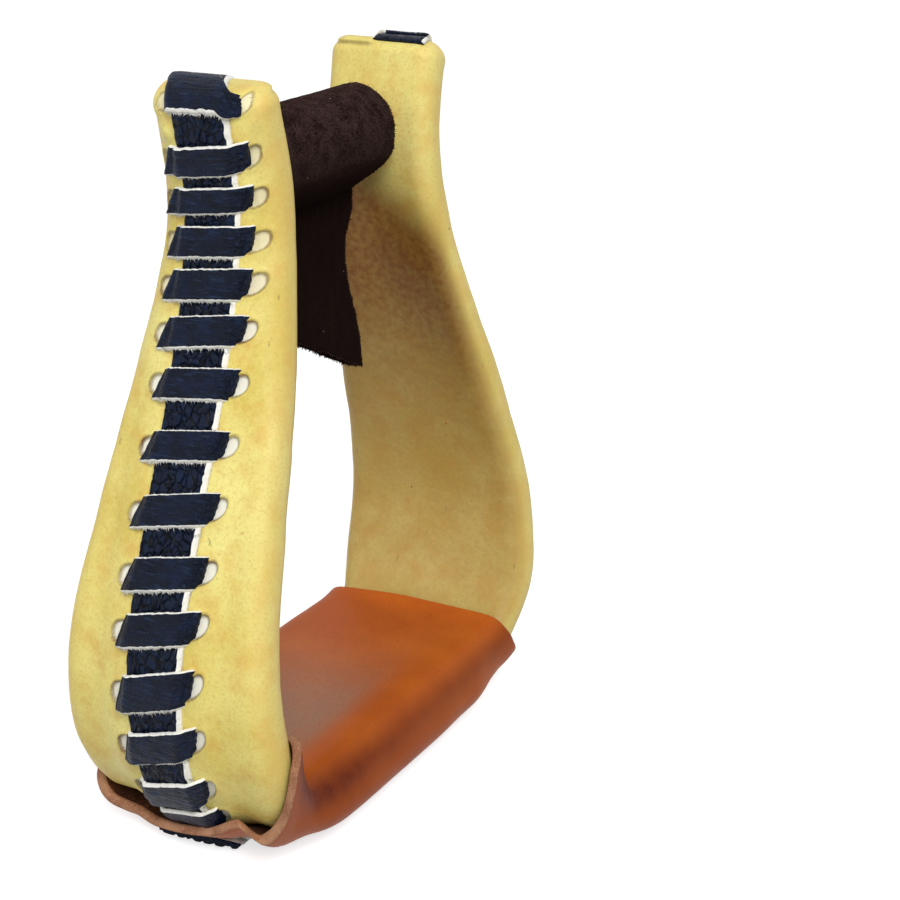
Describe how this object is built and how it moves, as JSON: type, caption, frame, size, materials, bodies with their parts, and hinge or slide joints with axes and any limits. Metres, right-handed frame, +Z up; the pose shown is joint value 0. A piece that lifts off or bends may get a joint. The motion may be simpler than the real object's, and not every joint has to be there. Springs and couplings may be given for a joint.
{
  "type": "western stirrup",
  "caption": "Bell-shaped bentwood stirrup in laced rawhide, with a flat leather-covered tread and a suede-wrapped roller on a bolt across the neck.",
  "frame": {"origin": "on the floor under the middle of the tread, between the two legs and midway across their depth", "axes": "+X along the bolt towards the tee nut, Y from edge to edge of a leg, +Z up from the tread to the neck"},
  "size_m": [0.1654, 0.0664, 0.1972],
  "materials": {
    "ash_wood": "sanded and oiled",
    "roller_wood": "turned",
    "rawhide": "satin",
    "strap_leather": "pebbled grain",
    "lace_leather": "fine grain, undyed edges",
    "tread_leather": "smooth satin",
    "suede": "brushed nap",
    "zinc_steel": "zinc plated"
  },
  "bodies": {
    "stirrup": {"bentwood_bow": "ash_wood", "rawhide_cover": "rawhide", "seam_strap_left": "strap_leather", "seam_strap_right": "strap_leather", "seam_lace_left": "lace_leather", "seam_lace_right": "lace_leather", "tread_cover": "tread_leather", "tread_strap": "strap_leather", "tread_lace": "lace_leather", "roller_bolt": "zinc_steel", "bolt_washer": "zinc_steel", "tee_nut": "zinc_steel"},
    "roller": {"roller": "roller_wood", "suede_wrap": "suede"},
    "flap": {"suede_flap": "suede"}
  },
  "joints": [
    {"name": "roller_turn", "type": "hinge", "parent": "stirrup", "child": "roller", "pos_m": [0, 0, 0.1745], "axis": [1, 0, 0], "continuous": true},
    {"name": "flap_swing", "type": "hinge", "parent": "roller", "child": "flap", "pos_m": [0, 0, 0.1549], "axis": [1, 0, 0], "range_deg": [-75, 75]}
  ]
}
